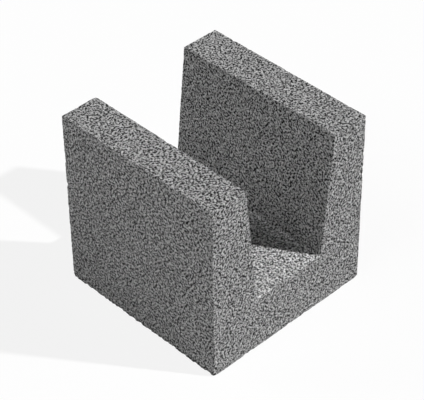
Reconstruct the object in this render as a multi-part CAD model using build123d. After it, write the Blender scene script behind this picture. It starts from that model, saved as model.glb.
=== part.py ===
from build123d import *
import os

# A concrete U-block, cast in one piece: a square block with a straight channel along its length.
# Millimetres, +Z up, +Y along the channel, origin at the middle of the bed face.

# Overall size
block_width = 200.0  # across the two walls, along X
block_length = 200.0  # along the channel, along Y
block_height = 200.0  # from the bed face to the tops of the walls, along Z

# Channel: its inner faces lean back, so that the mould's core can be drawn out upwards
wall_at_top = 43.0  # wall thickness at its top face
wall_at_foot = 57.0  # wall thickness where it meets the channel floor
floor_thickness = 62.0  # from the bed face to the channel floor

# Edges
arris_radius = 1.5  # outer edges, hardly rounded by the mould
root_radius = 4.0  # inside corners, where the walls meet the channel floor


def u_section(plane):
    """The block's section across the channel, drawn on a plane, with its edges rounded."""
    side = block_width / 2
    mouth = side - wall_at_top
    foot = side - wall_at_foot
    outline = [
        (-side, 0),
        (side, 0),
        (side, block_height),
        (mouth, block_height),
        (foot, floor_thickness),
        (-foot, floor_thickness),
        (-mouth, block_height),
        (-side, block_height),
    ]
    with BuildSketch(plane) as section:
        with BuildLine():
            Polyline(*outline, close=True)
        make_face()
        bed_corners, channel_roots, wall_corners = section.vertices().group_by(Axis.Y)
        fillet(bed_corners + wall_corners, arris_radius)
        fillet(channel_roots, root_radius)
    return section.sketch


def u_block():
    """The section drawn out along the channel, with the edges of both end faces rounded."""
    back_end = Plane.XZ.offset(-block_length / 2)
    block = extrude(u_section(back_end), amount=block_length)
    end_faces = block.faces().filter_by(Axis.Y)
    return fillet(end_faces.edges(), arris_radius)


os.makedirs("parts", exist_ok=True)
export_step(u_block(), "parts/u_block.step")
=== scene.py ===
import math
import random
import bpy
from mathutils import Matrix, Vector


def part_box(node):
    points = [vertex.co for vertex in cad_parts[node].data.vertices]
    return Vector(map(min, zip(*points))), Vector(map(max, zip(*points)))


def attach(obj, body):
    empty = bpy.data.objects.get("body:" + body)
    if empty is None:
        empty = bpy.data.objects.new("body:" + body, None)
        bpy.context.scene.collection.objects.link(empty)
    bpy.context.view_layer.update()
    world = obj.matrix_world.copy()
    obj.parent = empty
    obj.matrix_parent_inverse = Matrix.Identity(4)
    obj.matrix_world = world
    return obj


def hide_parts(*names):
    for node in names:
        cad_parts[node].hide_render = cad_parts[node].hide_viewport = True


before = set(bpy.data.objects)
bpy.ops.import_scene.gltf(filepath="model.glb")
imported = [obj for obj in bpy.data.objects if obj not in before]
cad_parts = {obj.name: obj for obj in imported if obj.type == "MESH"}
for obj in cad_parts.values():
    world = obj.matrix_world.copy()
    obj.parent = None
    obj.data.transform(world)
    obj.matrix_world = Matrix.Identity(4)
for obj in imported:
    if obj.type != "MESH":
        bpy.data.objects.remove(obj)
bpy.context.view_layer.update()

from types import SimpleNamespace

import bpy
import numpy as np
from bpy.props import FloatProperty, FloatVectorProperty, IntProperty, PointerProperty
from mathutils import Quaternion, Vector, kdtree, noise

bl_info = {
    "name": "Concrete U-block",
    "version": (1, 0, 0),
    "blender": (4, 5, 0),
    "location": "3D View > Sidebar > U-block",
    "description": "Dresses the solid of a U-block as rough cast concrete and sets a plain stage around it",
    "category": "Object",
}

NODE = "u_block"
PIECE = "u_block_concrete"
BODY = "root"
SLOT = "concrete"
# Name of the map that the block's textures are drawn through
TEXTURE_MAP = "OFBake"
# How the block's faces lie on that map, row by row, and the gaps between them in metres
MAP_ROWS = (
    ("bed", "left_side", "right_side"),
    ("front", "back", "channel_floor", "left_top", "right_top"),
    ("left_inner", "right_inner"),
)
MAP_GAP = 0.006
# Share of a face's normal from which the face counts as turned that way
FACING = 0.9
# Points nearer to the section's outline than this, in metres, lie on it
ON_OUTLINE = 1e-7
# Farthest that a noise is moved from the origin, in its own lengths
NOISE_SHIFT = 50
# The smallest and the shallowest dents, as shares of the largest and of the deepest
SMALLEST_DENT = 0.45
SHALLOWEST_DENT = 0.35
# Chips fall only where rounding takes away more than this share of the arris radius
CUT_BACK_SHARE = 0.3
# Chips stay farther than this many root radii from the inside corners of the channel
CLEAR_OF_ROOT = 2
# Mesh steps from one modelled grain to the next
GRAIN_STEPS = 1.3
# Turns of the textures' axes in radians, so that no face and no edge of the block lies along them
TURN_INSIDE = (0.6, 0.35, 0.9)
TURN_ON_FACE = (0.0, 0.0, 0.6)
# Tone of the paste, halfway from the darkest grains to the palest
PASTE_TONE = 0.5
# Roughness of the smoothest sand, and how much rougher the roughest is
SMOOTHEST = 0.74
ROUGHNESS_RANGE = 0.3
SPECULAR_LEVEL = 0.2
WHITE = (1.0, 1.0, 1.0, 1.0)
FLOOR_CORNERS = 96
# Width of the camera's sensor in millimetres
SENSOR_WIDTH = 36.0


def read_section():
    """The block's section in metres, read from its solid.

    side and end are half the width and half the length, top is the height, floor is the channel floor's
    height, and foot and mouth are half the channel's width at its floor and at its open top.
    """
    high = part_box(NODE)[1]
    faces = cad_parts[NODE].data.polygons
    level = [f for f in faces if f.normal.z > FACING and f.center.z < high.z / 2]
    floor = max(level, key=lambda f: f.area).center.z
    leaning = [f for f in faces if f.normal.x < -FACING and f.center.x > 0]
    inner = max(leaning, key=lambda f: f.area)

    def half_width(height):
        return inner.center.x - inner.normal.z * (height - inner.center.z) / inner.normal.x

    return SimpleNamespace(
        side=high.x, end=high.y, top=high.z, floor=floor, foot=half_width(floor), mouth=half_width(high.z)
    )


SECTION = read_section()


class UBlockSurface(bpy.types.PropertyGroup):
    """The relief that casting and handling leave on the block."""

    mesh_step: FloatProperty(
        name="Mesh step",
        description="Spacing of the points that carry the relief",
        default=0.00172,
        min=0.0014,
        precision=5,
        unit="LENGTH",
    )
    edge_step: FloatProperty(
        name="Edge step",
        description="Distance of the first points from the edges of a face",
        default=0.0008,
        min=0.0002,
        precision=5,
        unit="LENGTH",
    )
    arris_radius: FloatProperty(
        name="Arris radius",
        description="Rounding of the outer edges where they are sharpest",
        default=0.0006,
        min=0.0,
        precision=5,
        unit="LENGTH",
    )
    arris_wear: FloatProperty(
        name="Arris wear",
        description="Rounding that is added where the outer edges are worn most",
        default=0.0007,
        min=0.0,
        precision=5,
        unit="LENGTH",
    )
    wear_length: FloatProperty(
        name="Wear length",
        description="Length along an edge over which the wear changes",
        default=0.018,
        min=0.001,
        precision=4,
        unit="LENGTH",
    )
    bed_wear: FloatProperty(
        name="Bed wear",
        description="Rounding that is added where the side edges of the bed are most ragged",
        default=0.003,
        min=0.0,
        precision=5,
        unit="LENGTH",
    )
    bed_wear_length: FloatProperty(
        name="Bed wear length",
        description="Length along the side edges of the bed over which their raggedness changes",
        default=0.003,
        min=0.001,
        precision=4,
        unit="LENGTH",
    )
    bed_wear_reach: FloatProperty(
        name="Bed wear reach",
        description="Distance from the side edges of the bed at which their raggedness ends",
        default=0.005,
        min=0.001,
        precision=4,
        unit="LENGTH",
    )
    root_radius: FloatProperty(
        name="Root radius",
        description="Rounding of the inside corners of the channel",
        default=0.004,
        min=0.0,
        precision=4,
        unit="LENGTH",
    )
    grain_depth: FloatProperty(
        name="Grain depth",
        description="Depth of the gaps between the grains",
        default=0.00035,
        min=0.0,
        precision=5,
        unit="LENGTH",
    )
    hollow_depth: FloatProperty(
        name="Hollow depth",
        description="Depth of the broad unevenness of the faces",
        default=0.00025,
        min=0.0,
        precision=5,
        unit="LENGTH",
    )
    hollow_length: FloatProperty(
        name="Hollow length",
        description="Width of the broad unevenness of the faces",
        default=0.04,
        min=0.001,
        precision=4,
        unit="LENGTH",
    )
    pit_count: IntProperty(
        name="Pits",
        description="Number of air pits in the surface",
        default=420,
        min=0,
    )
    pit_radius: FloatProperty(
        name="Pit radius",
        description="Radius of the largest air pits",
        default=0.0032,
        min=0.0,
        precision=5,
        unit="LENGTH",
    )
    pit_depth: FloatProperty(
        name="Pit depth",
        description="Depth of the deepest air pits",
        default=0.0011,
        min=0.0,
        precision=5,
        unit="LENGTH",
    )
    chip_count: IntProperty(
        name="Chips",
        description="Number of small chips along the outer edges",
        default=60,
        min=0,
    )
    chip_radius: FloatProperty(
        name="Chip radius",
        description="Radius of the largest chips",
        default=0.004,
        min=0.0,
        precision=5,
        unit="LENGTH",
    )
    chip_depth: FloatProperty(
        name="Chip depth",
        description="Depth of the deepest chips",
        default=0.0007,
        min=0.0,
        precision=5,
        unit="LENGTH",
    )
    seed: IntProperty(
        name="Seed",
        description="Sets where the pits, chips and wear fall",
        default=7,
        min=0,
    )


class UBlockConcrete(bpy.types.PropertyGroup):
    """The colours and the grain of the concrete."""

    pale_grain: FloatVectorProperty(
        name="Pale grains",
        description="Colour of the palest sand grains",
        default=(0.49, 0.49, 0.49, 1.0),
        size=4,
        min=0.0,
        max=1.0,
        subtype="COLOR",
    )
    paste: FloatVectorProperty(
        name="Paste",
        description="Colour of the cement paste around the grains",
        default=(0.275, 0.275, 0.275, 1.0),
        size=4,
        min=0.0,
        max=1.0,
        subtype="COLOR",
    )
    dark_grain: FloatVectorProperty(
        name="Dark grains",
        description="Colour of the darkest grains and of the gaps",
        default=(0.003, 0.003, 0.003, 1.0),
        size=4,
        min=0.0,
        max=1.0,
        subtype="COLOR",
    )
    grain_size: FloatProperty(
        name="Grain size",
        description="Distance from one coarse grain to the next",
        default=0.0022,
        min=0.0002,
        precision=5,
        unit="LENGTH",
    )
    grain_contrast: FloatProperty(
        name="Grain contrast",
        description="How far the coarse grains stand out from the gaps between them",
        default=2.25,
        min=0.0,
    )
    sand_size: FloatProperty(
        name="Sand size",
        description="Distance from one sand grain to the next",
        default=0.0013,
        min=0.0002,
        precision=5,
        unit="LENGTH",
    )
    sand_contrast: FloatProperty(
        name="Sand contrast",
        description="How far the sand grains stand out from the gaps between them",
        default=3.6,
        min=0.0,
    )
    speck_size: FloatProperty(
        name="Speck size",
        description="Width of the specks, which are paler and darker stones in the sand",
        default=0.0018,
        min=0.0002,
        precision=5,
        unit="LENGTH",
    )
    speck_contrast: FloatProperty(
        name="Speck contrast",
        description="Difference between the palest and the darkest specks, as a share of their colour",
        default=0.65,
        min=0.0,
        max=2.0,
    )
    mottle_size: FloatProperty(
        name="Mottle size",
        description="Width of the faint clouds in the grey",
        default=0.02,
        min=0.001,
        precision=4,
        unit="LENGTH",
    )
    mottle_contrast: FloatProperty(
        name="Mottle contrast",
        description="How much the clouds differ from each other",
        default=0.18,
        min=0.0,
    )
    # The channel floor is made paler: its grains by a gain and its gaps by a grey film
    floor_pale_gain: FloatProperty(
        name="Dust gain",
        description="How much paler the dust makes the grains of the channel floor",
        default=0.57,
        min=0.0,
        max=1.0,
        subtype="FACTOR",
    )
    floor_pale_film: FloatProperty(
        name="Dust film",
        description="How much grey the dust lays over the gaps in the channel floor",
        default=0.03,
        min=0.0,
        max=1.0,
        subtype="FACTOR",
    )
    # Painted shade at the bottom of the air pits
    pit_painted_shade: FloatProperty(
        name="Pit shade",
        description="How much darker the concrete is at the bottom of the air pits",
        default=0.35,
        min=0.0,
    )
    # Painted shade along the ragged side edges of the bed, where they meet the floor
    bed_painted_shade: FloatProperty(
        name="Bed shade",
        description="How much darker the concrete is where the side edges of the bed are ragged",
        default=1.3,
        min=0.0,
    )
    bump_depth: FloatProperty(
        name="Bump depth",
        description="Height of the palest grains above the darkest gaps",
        default=0.0002,
        min=0.0,
        precision=5,
        unit="LENGTH",
    )


class UBlockStage(bpy.types.PropertyGroup):
    """The camera, the lamps and the floor."""

    camera_azimuth: FloatProperty(
        name="Camera azimuth",
        description="Turn of the camera about the block, from straight in front of its open end",
        default=math.radians(-43.93),
        subtype="ANGLE",
    )
    camera_elevation: FloatProperty(
        name="Camera elevation",
        description="Height of the camera above the horizon",
        default=math.radians(39.67),
        subtype="ANGLE",
    )
    camera_roll: FloatProperty(
        name="Camera roll",
        description="Turn of the camera about its line of sight",
        default=math.radians(-0.71),
        subtype="ANGLE",
    )
    camera_distance: FloatProperty(
        name="Camera distance",
        description="Distance from the camera to the point that it aims at",
        default=1.7451,
        min=0.1,
        unit="LENGTH",
    )
    camera_aim: FloatVectorProperty(
        name="Camera aim",
        description="Point that the middle of the picture shows, from the block's centre",
        default=(-0.00231, 0.00119, -0.0009),
        size=3,
        precision=5,
        subtype="TRANSLATION",
    )
    focal_length: FloatProperty(
        name="Focal length",
        description="Focal length on a sensor 36 mm wide",
        default=154.25,
        min=1.0,
        unit="CAMERA",
    )
    key_azimuth: FloatProperty(
        name="Key azimuth",
        description="Direction that the main lamp shines from, from straight in front of the open end",
        default=math.radians(36.0),
        subtype="ANGLE",
    )
    key_elevation: FloatProperty(
        name="Key elevation",
        description="Height of the main lamp above the horizon",
        default=math.radians(42.5),
        subtype="ANGLE",
    )
    key_strength: FloatProperty(
        name="Key strength",
        description="Strength of the main lamp",
        default=3.15,
        min=0.0,
    )
    key_softness: FloatProperty(
        name="Key softness",
        description="Angle that the main lamp takes up in the sky",
        default=math.radians(1.5),
        subtype="ANGLE",
    )
    back_azimuth: FloatProperty(
        name="Back fill azimuth",
        description="Direction that the fill lamp behind the block shines from",
        default=math.radians(-150.0),
        subtype="ANGLE",
    )
    back_elevation: FloatProperty(
        name="Back fill elevation",
        description="Height of the fill lamp behind the block above the horizon",
        default=math.radians(10.0),
        subtype="ANGLE",
    )
    back_strength: FloatProperty(
        name="Back fill strength",
        description="Strength of the fill lamp behind the block",
        default=1.03,
        min=0.0,
    )
    side_azimuth: FloatProperty(
        name="Side fill azimuth",
        description="Direction that the fill lamp beside the block shines from",
        default=math.radians(-90.0),
        subtype="ANGLE",
    )
    side_elevation: FloatProperty(
        name="Side fill elevation",
        description="Height of the fill lamp beside the block above the horizon",
        default=math.radians(50.0),
        subtype="ANGLE",
    )
    side_strength: FloatProperty(
        name="Side fill strength",
        description="Strength of the fill lamp beside the block",
        default=0.59,
        min=0.0,
    )
    fill_softness: FloatProperty(
        name="Fill softness",
        description="Angle that each fill lamp takes up in the sky",
        default=math.radians(30.0),
        subtype="ANGLE",
    )
    sky_strength: FloatProperty(
        name="Sky strength",
        description="Strength of the even light from all round",
        default=0.02,
        min=0.0,
    )
    floor_colour: FloatVectorProperty(
        name="Floor colour",
        description="Colour of the floor as the block's light sees it",
        default=(0.6, 0.6, 0.6, 1.0),
        size=4,
        min=0.0,
        max=1.0,
        subtype="COLOR",
    )
    floor_radius: FloatProperty(
        name="Floor radius",
        description="Radius of the round floor",
        default=6.0,
        min=0.5,
        unit="LENGTH",
    )
    shadow_share: FloatProperty(
        name="Shadow share",
        description="How much of the block's shadow shows on the white floor",
        default=0.15,
        min=0.0,
        max=1.0,
        subtype="FACTOR",
    )


def spread(length, surface):
    """Shares of a length from 0 to 1, in even steps with a shorter one at each end."""
    edge = surface.edge_step
    steps = max(2, round(length / surface.mesh_step))
    return np.concatenate([[0.0], np.linspace(edge, length - edge, steps + 1) / length, [1.0]])


def section_lattice(surface):
    """A grid over the U of the section, as points (x, z), quads, and the boundary in order.

    The columns run over the left wall, the channel and the right wall, and the rows over the base and the
    walls. A place in the channel's air has no point. Each boundary entry is a face's name and its run of
    points, counter-clockwise as seen from the front.
    """
    s = SECTION
    over_wall = spread(s.side - s.foot, surface)
    over_channel = spread(2 * s.foot, surface)
    up_base = spread(s.floor, surface)
    up_wall = spread(math.hypot(s.top - s.floor, s.mouth - s.foot), surface)
    left = len(over_wall) - 1
    right = left + len(over_channel) - 1
    columns = right + left
    base_rows = len(up_base) - 1
    rows = base_rows + len(up_wall) - 1

    number = {}
    points = []
    for row in range(rows + 1):
        rise = up_wall[row - base_rows] if row > base_rows else 0.0
        inner = s.foot + (s.mouth - s.foot) * rise
        height = s.floor * up_base[min(row, base_rows)] + (s.top - s.floor) * rise
        for column in range(columns + 1):
            if column <= left:
                x = (s.side - inner) * over_wall[column] - s.side
            elif column >= right:
                x = s.side - (s.side - inner) * over_wall[columns - column]
            elif row <= base_rows:
                x = s.foot * (2 * over_channel[column - left] - 1)
            else:
                continue
            number[column, row] = len(points)
            points.append((x, height))

    quads = []
    for row in range(rows):
        for column in range(columns):
            corners = [(column, row), (column + 1, row), (column + 1, row + 1), (column, row + 1)]
            in_air = row >= base_rows and left <= column < right
            if not in_air:
                quads.append([number[corner] for corner in corners])

    def run(columns_run, rows_run):
        return [number[column, row] for column in columns_run for row in rows_run]

    boundary = [
        ("bed", run(range(columns + 1), [0])),
        ("right_side", run([columns], range(rows + 1))),
        ("right_top", run(range(columns, right - 1, -1), [rows])),
        ("right_inner", run([right], range(rows, base_rows - 1, -1))),
        ("channel_floor", run(range(right, left - 1, -1), [base_rows])),
        ("left_inner", run([left], range(base_rows, rows + 1))),
        ("left_top", run(range(left, -1, -1), [rows])),
        ("left_side", run([0], range(rows, -1, -1))),
    ]
    return np.array(points), quads, boundary


def sharp_block(surface):
    """The block with sharp edges: its points, and each face's quads with their corners on a flat map."""
    flat, cap_quads, boundary = section_lattice(surface)
    loop = [index for _, run in boundary for index in run[:-1]]
    place = {index: spot for spot, index in enumerate(loop)}
    along = SECTION.end * (2 * spread(2 * SECTION.end, surface) - 1)
    rings = len(along) - 1
    between = [np.insert(flat[loop], 1, y, axis=1) for y in along[1:-1]]
    front = np.insert(flat, 1, along[0], axis=1)
    back = np.insert(flat, 1, along[-1], axis=1)
    points = np.concatenate([front, back, *between])

    def point(index, ring):
        if ring == 0:
            return index
        if ring == rings:
            return len(flat) + index
        return 2 * len(flat) + (ring - 1) * len(loop) + place[index]

    cap_quads = np.array(cap_quads)
    back_quads = cap_quads[:, ::-1]
    charts = {
        "front": (cap_quads, flat[cap_quads] + (SECTION.side, 0)),
        "back": (back_quads + len(flat), flat[back_quads] * (-1, 1) + (SECTION.side, 0)),
    }
    for name, run in boundary:
        gaps = np.linalg.norm(np.diff(flat[run], axis=0), axis=1)
        across = gaps.sum() - np.concatenate([[0], np.cumsum(gaps)])
        quads, corners = [], []
        for k in range(len(run) - 1):
            for ring in range(rings):
                near, far = along[ring] + SECTION.end, along[ring + 1] + SECTION.end
                quads.append(
                    (
                        point(run[k], ring),
                        point(run[k], ring + 1),
                        point(run[k + 1], ring + 1),
                        point(run[k + 1], ring),
                    )
                )
                corners.append(
                    ((across[k], near), (across[k], far), (across[k + 1], far), (across[k + 1], near))
                )
        charts[name] = (np.array(quads), np.array(corners))
    return points, charts


def lay_out_map(charts):
    """The faces' flat maps side by side in rows, in metres and in the quads' order, and their extent."""
    placed = {}
    width = 0.0
    v = MAP_GAP
    for names in MAP_ROWS:
        u = MAP_GAP
        height = 0.0
        for name in names:
            corners = charts[name][1]
            placed[name] = corners + (u, v)
            u += corners[..., 0].max() + MAP_GAP
            height = max(height, corners[..., 1].max())
        v += height + MAP_GAP
        width = max(width, u)
    return np.concatenate([placed[name] for name in charts]), max(width, v)


def outline():
    """The corners of the section as (x, z), counter-clockwise as seen from the front."""
    s = SECTION
    return np.array(
        [
            (-s.side, 0.0),
            (s.side, 0.0),
            (s.side, s.top),
            (s.mouth, s.top),
            (s.foot, s.floor),
            (-s.foot, s.floor),
            (-s.mouth, s.top),
            (-s.side, s.top),
        ]
    )


def nearest_inside(flat, radius):
    """The nearest point to each section point on the outline, moved inwards by that point's radius."""
    corners = outline()
    ahead = np.roll(corners, -1, axis=0) - corners
    ahead /= np.linalg.norm(ahead, axis=1)[:, None]
    inward = np.stack([-ahead[:, 1], ahead[:, 0]], axis=1)
    before = np.roll(inward, 1, axis=0)
    # A corner moves along its mitre, so that both of its sides move inwards by the same amount
    mitre = (inward + before) / (1 + np.sum(inward * before, axis=1))[:, None]
    nearest = flat.copy()
    best = np.full(len(flat), np.inf)
    for k in range(len(corners)):
        after = (k + 1) % len(corners)
        start = corners[k] + radius[:, None] * mitre[k]
        side = corners[after] + radius[:, None] * mitre[after] - start
        share = np.sum((flat - start) * side, axis=1) / np.sum(side * side, axis=1)
        spot = start + np.clip(share, 0, 1)[:, None] * side
        distance = np.linalg.norm(flat - spot, axis=1)
        closer = distance < best
        best[closer] = distance[closer]
        nearest[closer] = spot[closer]
    return nearest


def rounded(points, radius, root_radius):
    """The points with the outer edges rounded by each point's radius, and the inside corners rounded too."""
    s = SECTION
    flat = points[:, [0, 2]]
    depth = np.linalg.norm(flat - nearest_inside(flat, np.zeros(len(flat))), axis=1)
    core = nearest_inside(flat, radius)
    deep = depth >= radius
    core[deep] = flat[deep]
    y = np.clip(points[:, 1], radius - s.end, s.end - radius)
    centre = np.stack([core[:, 0], y, core[:, 1]], axis=1)
    reach = points - centre
    moved = centre + radius[:, None] * reach / np.linalg.norm(reach, axis=1)[:, None]

    for side in (-1, 1):
        corner = np.array((side * s.foot, s.floor))
        along_floor = np.array((-side, 0.0))
        up_wall = np.array((side * (s.mouth - s.foot), s.top - s.floor))
        up_wall /= np.linalg.norm(up_wall)
        half_angle = math.acos(along_floor @ up_wall) / 2
        middle = along_floor + up_wall
        middle *= root_radius / math.sin(half_angle) / np.linalg.norm(middle)
        distance = np.linalg.norm(flat - corner, axis=1)
        beside = (distance < root_radius / math.tan(half_angle)) & (depth < ON_OUTLINE)
        spoke = flat[beside] - corner - middle
        arc = corner + middle + root_radius * spoke / np.linalg.norm(spoke, axis=1)[:, None]
        moved[np.ix_(beside, [0, 2])] += arc - flat[beside]
    return moved


def uneven(points, length, rng, middle=0.5, swing=1.0):
    """Smooth noise from 0 to 1 at each point, which swings about its middle over the given length."""
    shift = [rng.uniform(-NOISE_SHIFT, NOISE_SHIFT) for _ in range(3)]
    places = (points / length + shift).tolist()
    values = np.array([noise.noise(Vector(place)) for place in places])
    return np.clip(middle + swing * values, 0, 1)


def dents(points, candidates, count, radius, depth, rng):
    """The depth at each point of dents that are strewn over the candidate points."""
    tree = kdtree.KDTree(len(points))
    for index, p in enumerate(points.tolist()):
        tree.insert(p, index)
    tree.balance()
    fall = np.zeros(len(points))
    for centre in rng.sample(list(candidates), min(count, len(candidates))):
        reach = radius * rng.uniform(SMALLEST_DENT, 1.0)
        drop = depth * rng.uniform(SHALLOWEST_DENT, 1.0)
        for _, index, distance in tree.find_range(points[centre].tolist(), reach):
            fall[index] = max(fall[index], drop * (1 - (distance / reach) ** 2))
    return fall


def edge_radii(points, surface, rng):
    """Each point's rounding radius, and how ragged the bed's side edges are there, from 0 to 1, which is
    also the share of painted shade along those edges.
    """
    wear = uneven(points, surface.wear_length, rng, middle=0.45, swing=0.9) ** 2
    ragged = uneven(points, surface.bed_wear_length, rng, swing=1.4)
    from_edge = np.maximum(points[:, 2], SECTION.side - np.abs(points[:, 0]))
    ragged *= np.clip(1 - from_edge / surface.bed_wear_reach, 0, 1)
    radius = surface.arris_radius + surface.arris_wear * wear + surface.bed_wear * ragged
    return radius, ragged


def outer_edges(points, smooth, surface):
    """The numbers of the points on the outer edges, clear of the channel's inside corners."""
    cut_back = np.linalg.norm(smooth - points, axis=1)
    from_root = np.hypot(np.abs(points[:, 0]) - SECTION.foot, points[:, 2] - SECTION.floor)
    on_edge = cut_back > CUT_BACK_SHARE * surface.arris_radius
    clear = from_root > CLEAR_OF_ROOT * surface.root_radius
    return np.flatnonzero(on_edge & clear)


def add_maps(mesh, charts):
    """Adds the texture map, and the faces' flat maps at their real size for the grain."""
    flat, extent = lay_out_map(charts)
    texture_map = mesh.uv_layers.new(name=TEXTURE_MAP)
    texture_map.data.foreach_set("uv", (flat / extent).ravel())
    on_face = np.pad(flat, ((0, 0), (0, 0), (0, 1)))
    places = mesh.attributes.new("on_face", "FLOAT_VECTOR", "CORNER")
    places.data.foreach_set("vector", on_face.ravel())


def cast_mesh(surface):
    """The block's rough surface as a mesh, with its maps, the shares of painted shade in the pits and along
    the ragged bed edges, and the points of the channel floor.
    """
    rng = random.Random(surface.seed)
    points, charts = sharp_block(surface)
    radius, ragged = edge_radii(points, surface, rng)
    smooth = rounded(points, radius, surface.root_radius)
    arris = outer_edges(points, smooth, surface)

    mesh = bpy.data.meshes.new(PIECE)
    quads = np.concatenate([chart[0] for chart in charts.values()])
    mesh.from_pydata(smooth.tolist(), [], quads.tolist())
    normals = np.empty(3 * len(points))
    mesh.vertex_normals.foreach_get("vector", normals)
    normals = normals.reshape(-1, 3)

    everywhere = range(len(points))
    pits = dents(smooth, everywhere, surface.pit_count, surface.pit_radius, surface.pit_depth, rng)
    chips = dents(smooth, arris, surface.chip_count, surface.chip_radius, surface.chip_depth, rng)
    grain = uneven(smooth, GRAIN_STEPS * surface.mesh_step, rng)
    hollow = uneven(smooth, surface.hollow_length, rng, swing=0.7)
    fall = np.maximum(pits, chips) + surface.grain_depth * grain + surface.hollow_depth * hollow
    final = smooth - normals * fall[:, None]
    mesh.vertices.foreach_set("co", final.ravel())
    mesh.polygons.foreach_set("use_smooth", np.ones(len(quads), dtype=bool))

    add_maps(mesh, charts)
    on_floor = np.zeros(len(points))
    on_floor[np.unique(charts["channel_floor"][0])] = 1.0
    # The shares of painted shade in the pits and along the ragged side edges of the bed, and the points of
    # the channel floor, which is made paler
    shares = {"pit": pits / surface.pit_depth, "painted_bed_shade": ragged, "pale_floor": on_floor}
    for name, share in shares.items():
        mesh.attributes.new(name, "FLOAT", "POINT").data.foreach_set("value", share)
    mesh.update()
    if mesh.validate():
        raise RuntimeError("the block's surface has faulty faces")
    return mesh


def add_node(tree, kind, inputs=None, **settings):
    """A node in a material or world, with its settings made and its inputs set or linked."""
    node = tree.nodes.new(kind)
    for name, value in settings.items():
        setattr(node, name, value)
    for name, value in (inputs or {}).items():
        if isinstance(value, bpy.types.NodeSocket):
            tree.links.new(value, node.inputs[name])
        else:
            node.inputs[name].default_value = value
    return node


def maths(tree, operation, *values):
    """The result of a sum on sockets and numbers."""
    return add_node(tree, "ShaderNodeMath", dict(enumerate(values)), operation=operation).outputs[0]


def about_zero(tree, value, contrast):
    """A value from 0 to 1 turned into one from minus half the contrast to plus half."""
    return maths(tree, "MULTIPLY_ADD", value, contrast, -0.5 * contrast)


def concrete_material(look):
    """Grains from dark to pale in a grey paste, with painted shade in the pits and along the bed edges, and
    a paler channel floor.
    """
    material = bpy.data.materials.new(SLOT)
    material.use_nodes = True
    tree = material.node_tree
    tree.nodes.clear()

    def share(name):
        return add_node(tree, "ShaderNodeAttribute", attribute_name=name).outputs["Fac"]

    def turned(places, rotation):
        return add_node(tree, "ShaderNodeMapping", {"Vector": places, "Rotation": rotation}).outputs[0]

    inside = turned(add_node(tree, "ShaderNodeTexCoord").outputs["Object"], TURN_INSIDE)
    flat_map = add_node(tree, "ShaderNodeAttribute", attribute_name="on_face")
    on_face = turned(flat_map.outputs["Vector"], TURN_ON_FACE)

    # Grain that is drawn flat on a face is spaced evenly, and grain that the face cuts through is not
    grains = add_node(
        tree,
        "ShaderNodeTexNoise",
        {"Vector": on_face, "Scale": 1 / look.grain_size, "Detail": 0.0},
        noise_dimensions="2D",
    ).outputs["Fac"]
    sand = add_node(
        tree,
        "ShaderNodeTexNoise",
        {"Vector": inside, "Scale": 1 / look.sand_size, "Detail": 1.0, "Roughness": 0.5},
    ).outputs["Fac"]
    specks = add_node(tree, "ShaderNodeTexVoronoi", {"Vector": inside, "Scale": 1 / look.speck_size})
    speck_tone = add_node(tree, "ShaderNodeSeparateColor", {"Color": specks.outputs["Color"]})
    clouds = add_node(
        tree,
        "ShaderNodeTexNoise",
        {"Vector": inside, "Scale": 1 / look.mottle_size, "Detail": 2.0, "Roughness": 0.5},
    ).outputs["Fac"]

    relief = maths(tree, "ADD", about_zero(tree, grains, look.grain_contrast), PASTE_TONE)
    relief = maths(tree, "ADD", relief, about_zero(tree, sand, look.sand_contrast))
    tone = maths(tree, "ADD", relief, about_zero(tree, clouds, look.mottle_contrast))
    # Painted shade: the concrete is painted darker at the bottom of the air pits, where shade falls in them
    tone = maths(tree, "MULTIPLY_ADD", share("pit"), -look.pit_painted_shade, tone)
    # Painted shade: the ragged side edges of the bed are painted darker, as the shade under them where they
    # meet the floor
    tone = maths(tree, "MULTIPLY_ADD", share("painted_bed_shade"), -look.bed_painted_shade, tone)
    grey = add_node(tree, "ShaderNodeValToRGB", {"Fac": tone})
    ramp = grey.color_ramp
    ramp.elements[0].color = look.dark_grain
    ramp.elements[1].color = look.pale_grain
    ramp.elements.new(PASTE_TONE).color = look.paste

    # The specks make the colour paler and darker, and the channel floor is made paler still
    varied = maths(tree, "ADD", about_zero(tree, speck_tone.outputs["Red"], look.speck_contrast), 1.0)
    floor_gain = maths(tree, "MULTIPLY_ADD", share("pale_floor"), look.floor_pale_gain, 1.0)
    gain = maths(tree, "MULTIPLY", varied, floor_gain)
    film = maths(tree, "MULTIPLY", share("pale_floor"), look.floor_pale_film)
    colour = add_node(
        tree,
        "ShaderNodeVectorMath",
        {0: grey.outputs["Color"], 1: gain, 2: film},
        operation="MULTIPLY_ADD",
    )

    bump = add_node(tree, "ShaderNodeBump", {"Height": relief, "Distance": look.bump_depth})
    roughness = maths(tree, "MULTIPLY_ADD", sand, ROUGHNESS_RANGE, SMOOTHEST)
    shader = add_node(
        tree,
        "ShaderNodeBsdfPrincipled",
        {
            "Base Color": colour.outputs["Vector"],
            "Roughness": roughness,
            "Specular IOR Level": SPECULAR_LEVEL,
            "Normal": bump.outputs["Normal"],
        },
    )
    add_node(tree, "ShaderNodeOutputMaterial", {"Surface": shader.outputs["BSDF"]})
    return material


def direction(azimuth, elevation):
    """The direction to a place round the block, from straight in front of its open end."""
    level = math.cos(elevation)
    return Vector((math.sin(azimuth) * level, -math.cos(azimuth) * level, math.sin(elevation)))


def add_sun(name, azimuth, elevation, strength, softness):
    """A lamp far away in the given direction."""
    lamp = bpy.data.lights.new(name, "SUN")
    lamp.energy = strength
    lamp.angle = softness
    holder = bpy.data.objects.new(name, lamp)
    holder.rotation_mode = "QUATERNION"
    holder.rotation_quaternion = direction(azimuth, elevation).to_track_quat("Z", "Y")
    bpy.context.collection.objects.link(holder)


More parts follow.
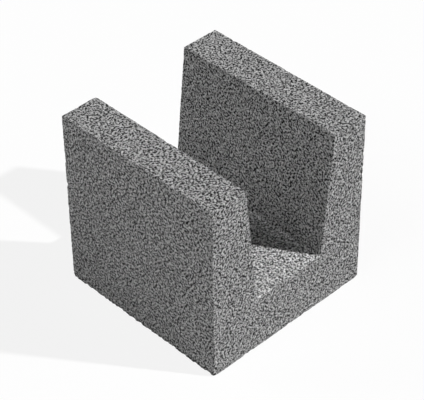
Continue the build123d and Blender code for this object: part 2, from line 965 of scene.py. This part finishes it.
def seen_straight(tree):
    """1 where the camera sees a thing, straight, mirrored or through glass, and 0 for the light it gives."""
    path = add_node(tree, "ShaderNodeLightPath")
    seen = maths(tree, "MAXIMUM", path.outputs["Is Camera Ray"], path.outputs["Is Glossy Ray"])
    return maths(tree, "MAXIMUM", seen, path.outputs["Is Transmission Ray"])


def add_world(stage):
    """Even light from all round, which the camera sees as white."""
    world = bpy.data.worlds.new("studio")
    world.use_nodes = True
    tree = world.node_tree
    tree.nodes.clear()
    light = add_node(tree, "ShaderNodeBackground", {"Color": WHITE, "Strength": stage.sky_strength})
    backdrop = add_node(tree, "ShaderNodeBackground", {"Color": WHITE, "Strength": 1.0})
    both = add_node(
        tree, "ShaderNodeMixShader", {0: seen_straight(tree), 1: light.outputs[0], 2: backdrop.outputs[0]}
    )
    add_node(tree, "ShaderNodeOutputWorld", {"Surface": both.outputs[0]})
    bpy.context.scene.world = world


def add_floor(stage):
    """A round pale floor, which the camera sees as white with the block's shadow on it."""
    turns = [2 * math.pi * k / FLOOR_CORNERS for k in range(FLOOR_CORNERS)]
    rim = [(stage.floor_radius * math.cos(t), stage.floor_radius * math.sin(t), 0.0) for t in turns]
    mesh = bpy.data.meshes.new("floor")
    mesh.from_pydata(rim, [], [list(range(FLOOR_CORNERS))])
    floor = bpy.data.objects.new("floor", mesh)
    bpy.context.collection.objects.link(floor)

    material = bpy.data.materials.new("floor")
    material.use_nodes = True
    tree = material.node_tree
    tree.nodes.clear()
    pale = add_node(tree, "ShaderNodeBsdfDiffuse", {"Color": stage.floor_colour})
    shaded = add_node(tree, "ShaderNodeBsdfDiffuse", {"Color": WHITE})
    bright = add_node(tree, "ShaderNodeEmission", {"Color": WHITE, "Strength": 1.0})
    seen = add_node(
        tree, "ShaderNodeMixShader", {0: stage.shadow_share, 1: bright.outputs[0], 2: shaded.outputs[0]}
    )
    both = add_node(
        tree, "ShaderNodeMixShader", {0: seen_straight(tree), 1: pale.outputs[0], 2: seen.outputs[0]}
    )
    add_node(tree, "ShaderNodeOutputMaterial", {"Surface": both.outputs[0]})
    mesh.materials.append(material)


def add_camera(stage):
    """The camera, turned and tilted as the photograph was taken."""
    towards = direction(stage.camera_azimuth, stage.camera_elevation)
    aim = Vector((0.0, 0.0, SECTION.top / 2)) + Vector(stage.camera_aim)
    data = bpy.data.cameras.new("camera")
    data.sensor_width = SENSOR_WIDTH
    data.lens = stage.focal_length
    camera = bpy.data.objects.new("camera", data)
    camera.location = aim + towards * stage.camera_distance
    camera.rotation_mode = "QUATERNION"
    roll = Quaternion((0, 0, 1), stage.camera_roll)
    camera.rotation_quaternion = towards.to_track_quat("Z", "Y") @ roll
    bpy.context.collection.objects.link(camera)
    bpy.context.scene.camera = camera


class UBLOCK_OT_cast_block(bpy.types.Operator):
    """Builds the block's rough cast surface in place of its plain solid"""

    bl_idname = "ublock.cast_block"
    bl_label = "Cast block"
    bl_options = {"REGISTER", "UNDO"}

    def execute(self, context):
        block = bpy.data.objects.new(PIECE, cast_mesh(context.scene.ublock_surface))
        context.collection.objects.link(block)
        block.data.materials.append(concrete_material(context.scene.ublock_concrete))
        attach(block, BODY)
        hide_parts(NODE)
        return {"FINISHED"}


class UBLOCK_OT_set_stage(bpy.types.Operator):
    """Sets the floor, the light and the camera round the block"""

    bl_idname = "ublock.set_stage"
    bl_label = "Set stage"
    bl_options = {"REGISTER", "UNDO"}

    def execute(self, context):
        stage = context.scene.ublock_stage
        context.scene.view_settings.view_transform = "Standard"
        add_world(stage)
        add_floor(stage)
        soft = stage.fill_softness
        add_sun("key", stage.key_azimuth, stage.key_elevation, stage.key_strength, stage.key_softness)
        add_sun("back_fill", stage.back_azimuth, stage.back_elevation, stage.back_strength, soft)
        add_sun("side_fill", stage.side_azimuth, stage.side_elevation, stage.side_strength, soft)
        add_camera(stage)
        return {"FINISHED"}


class UBLOCK_PT_sidebar(bpy.types.Panel):
    """The block's settings and the steps that build it"""

    bl_label = "U-block"
    bl_space_type = "VIEW_3D"
    bl_region_type = "UI"
    bl_category = "U-block"

    def draw(self, context):
        scene = context.scene
        self.list_settings("Surface", scene.ublock_surface)
        self.list_settings("Concrete", scene.ublock_concrete)
        self.layout.operator(UBLOCK_OT_cast_block.bl_idname)
        self.list_settings("Stage", scene.ublock_stage)
        self.layout.operator(UBLOCK_OT_set_stage.bl_idname)

    def list_settings(self, title, settings):
        box = self.layout.box()
        box.label(text=title)
        for name in settings.__annotations__:
            box.prop(settings, name)


CLASSES = (
    UBlockSurface,
    UBlockConcrete,
    UBlockStage,
    UBLOCK_OT_cast_block,
    UBLOCK_OT_set_stage,
    UBLOCK_PT_sidebar,
)


def register():
    for cls in CLASSES:
        bpy.utils.register_class(cls)
    bpy.types.Scene.ublock_surface = PointerProperty(type=UBlockSurface)
    bpy.types.Scene.ublock_concrete = PointerProperty(type=UBlockConcrete)
    bpy.types.Scene.ublock_stage = PointerProperty(type=UBlockStage)


def unregister():
    del bpy.types.Scene.ublock_stage
    del bpy.types.Scene.ublock_concrete
    del bpy.types.Scene.ublock_surface
    for cls in reversed(CLASSES):
        bpy.utils.unregister_class(cls)


def main():
    register()
    bpy.ops.ublock.cast_block()
    bpy.ops.ublock.set_stage()


if __name__ == "__main__":
    main()
